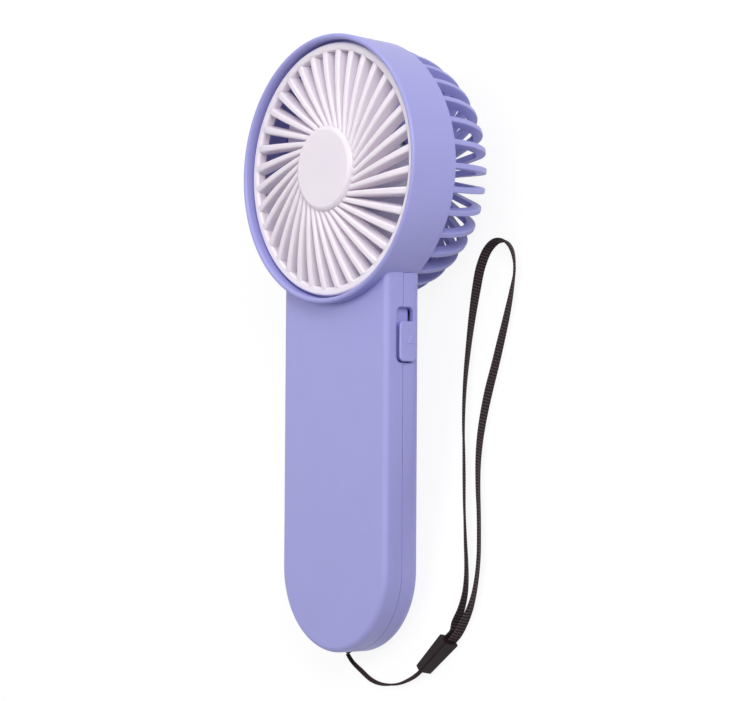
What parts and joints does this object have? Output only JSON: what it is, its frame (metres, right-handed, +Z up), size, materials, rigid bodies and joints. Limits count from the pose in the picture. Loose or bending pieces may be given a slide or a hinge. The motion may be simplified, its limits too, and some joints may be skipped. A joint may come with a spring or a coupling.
{
  "type": "hand-held fan",
  "caption": "Slim battery hand fan: round head with swirl-vane grille and ribbed rear cage, flat handle with a side slide switch, motor-driven impeller and a wrist strap.",
  "frame": {"origin": "on the surface that the fan lies on, under the middle of the fan's box without its strap", "axes": "+Y from the tail to the head, +X to the side of the switch, +Z up; the grille faces up and the fan lies on its cage and its tail, tilted 10.3 degrees about X"},
  "size_m": [0.0934, 0.2036, 0.0533],
  "materials": {
    "shell": "fine satin moulded lavender ABS",
    "grille": "soft gloss moulded white with a violet tint",
    "impeller": "semi-gloss translucent white moulding",
    "steel": "plated steel",
    "black_plastic": "moulded black",
    "brass": "sintered",
    "board": "green solder resist",
    "pouch_foil": "laminated foil pouch",
    "foam": "closed-cell foam",
    "red_sleeve": "smooth insulation",
    "strap_cord": "braided nylon",
    "strap_crimp": "moulded black",
    "webbing": "woven nylon tape"
  },
  "bodies": {
    "housing": {"front_shell": "shell", "rear_shell": "shell", "rear_cage": "shell", "front_grille": "grille", "motor_can": "steel", "motor_end_cap": "black_plastic", "motor_bush": "brass", "switch_body": "steel", "circuit_board": "board", "charging_socket": "steel", "controller_chip": "black_plastic", "boost_coil": "black_plastic", "battery_cell": "pouch_foil", "battery_pad": "foam", "battery_lead_positive": "red_sleeve", "battery_lead_negative": "black_plastic", "motor_lead_positive": "red_sleeve", "motor_lead_negative": "black_plastic", "shell_screw_upper_left": "steel", "shell_screw_upper_right": "steel", "shell_screw_lower_left": "steel", "shell_screw_lower_right": "steel", "board_screw_left": "steel", "board_screw_right": "steel", "motor_screw_left": "steel", "motor_screw_right": "steel", "strap_hitch": "strap_cord", "strap_cord": "strap_cord", "strap_crimp": "strap_crimp", "strap_webbing": "webbing"},
    "rotor": {"impeller": "impeller", "motor_shaft": "steel"},
    "slider": {"slider_button": "shell", "switch_lever": "black_plastic"}
  },
  "joints": [
    {"name": "impeller_spin", "type": "hinge", "parent": "housing", "child": "rotor", "pos_m": [0, 0.05529, 0.03168], "axis": [0, -0.1793, 0.9838], "continuous": true},
    {"name": "switch_slide", "type": "slide", "parent": "housing", "child": "slider", "axis": [0, 0.9838, 0.1793], "range_m": [0, 0.0042]}
  ]
}
